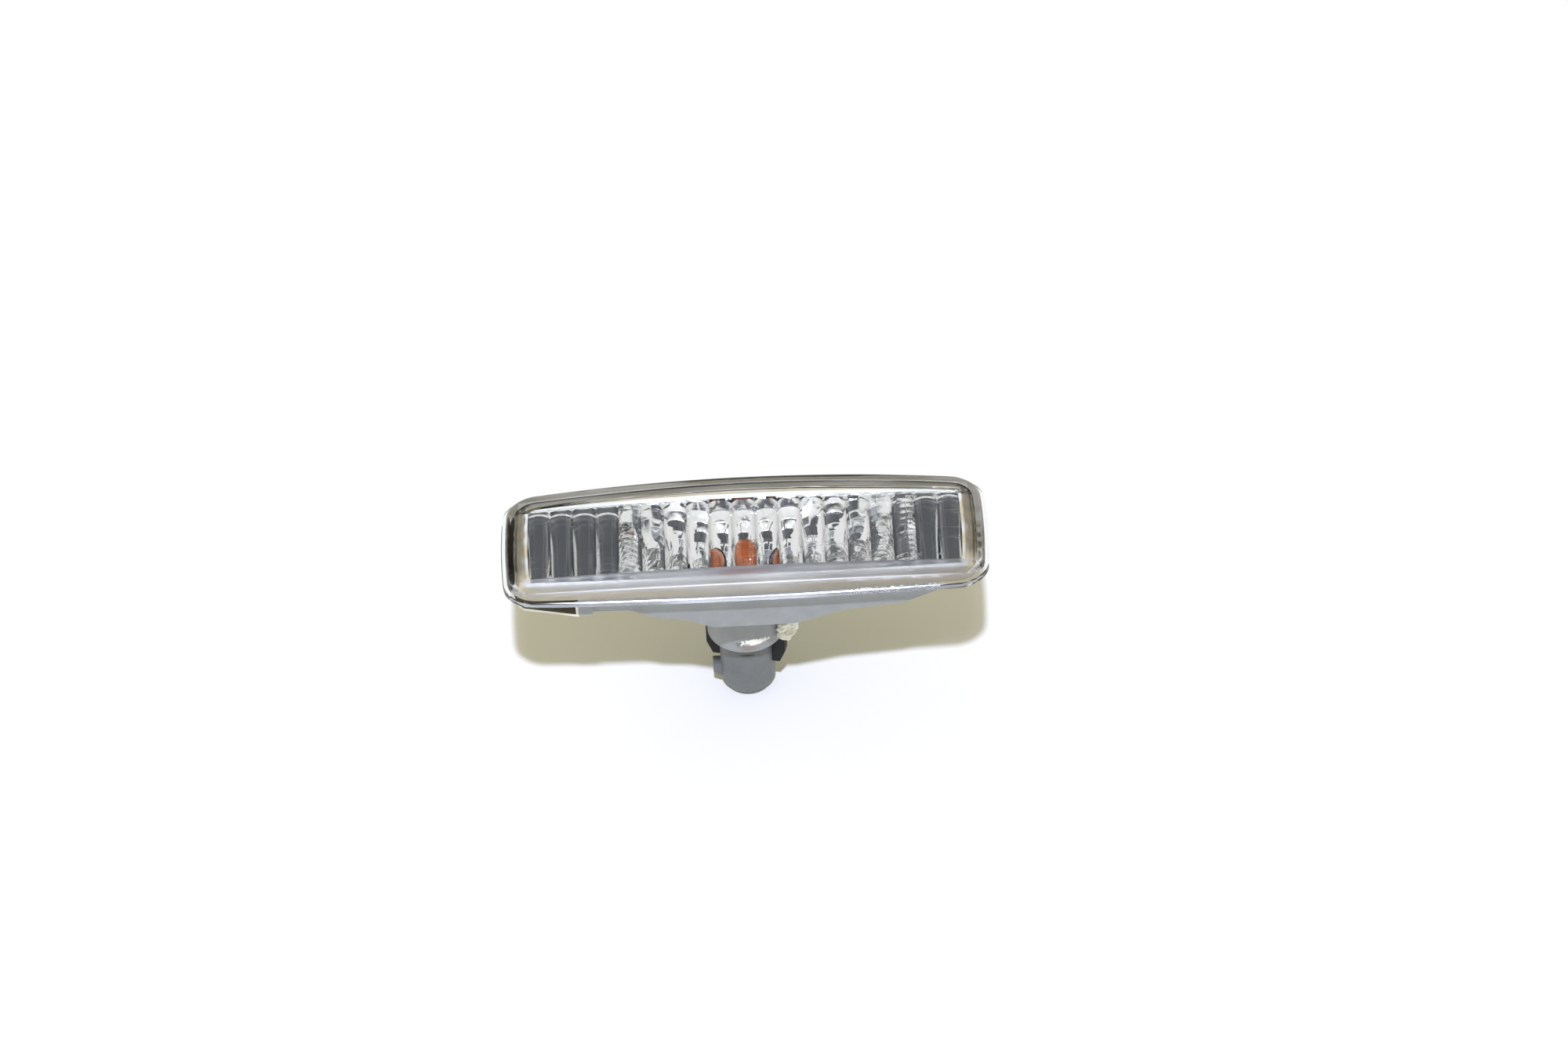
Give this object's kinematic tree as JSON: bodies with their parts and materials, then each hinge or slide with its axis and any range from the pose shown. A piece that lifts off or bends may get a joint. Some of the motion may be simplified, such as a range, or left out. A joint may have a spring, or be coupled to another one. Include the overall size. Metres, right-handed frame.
{
  "type": "side repeater lamp",
  "caption": "Oblong clear side repeater lamp for a car's wing, with a fluted crowned lens, faceted reflector, panel spring and a twist-in bulb holder behind.",
  "frame": {"origin": "middle of the flange's back face, which seats on the car's panel", "axes": "+X along the lamp towards its hook end, +Y across it, +Z out through the lens, with the bulb holder hanging behind along -Z"},
  "size_m": [0.112, 0.0386, 0.0488],
  "materials": {
    "clear_lens": "clear polished plastic with fine scratches",
    "grey_plastic": "moulded mid grey, slightly dusty",
    "plated_reflector": "bright metal plating on plastic",
    "cream_plastic": "moulded cream, smooth",
    "black_plastic": "moulded black",
    "dark_grey_plastic": "moulded dark grey",
    "seal_rubber": "soft black rubber",
    "contact_brass": "stamped strip",
    "amber_glass": "amber lacquered glass",
    "lead_wire": "drawn wire"
  },
  "bodies": {
    "lamp_body": {"lens": "clear_lens", "housing": "grey_plastic", "reflector": "plated_reflector", "retaining_spring": "cream_plastic"},
    "bulb_unit": {"bulb_socket": "black_plastic", "plug_shroud": "dark_grey_plastic", "holder_seal": "seal_rubber", "contact_left": "contact_brass", "contact_right": "contact_brass", "bulb_glass": "amber_glass", "bulb_lead_left": "lead_wire", "bulb_lead_right": "lead_wire", "bulb_filament": "lead_wire"}
  },
  "joints": [
    {"name": "holder_turn", "type": "hinge", "parent": "lamp_body", "child": "bulb_unit", "pos_m": [-0.0008, 0, 0], "axis": [0, 0, -1], "range_deg": [0, 60]}
  ]
}
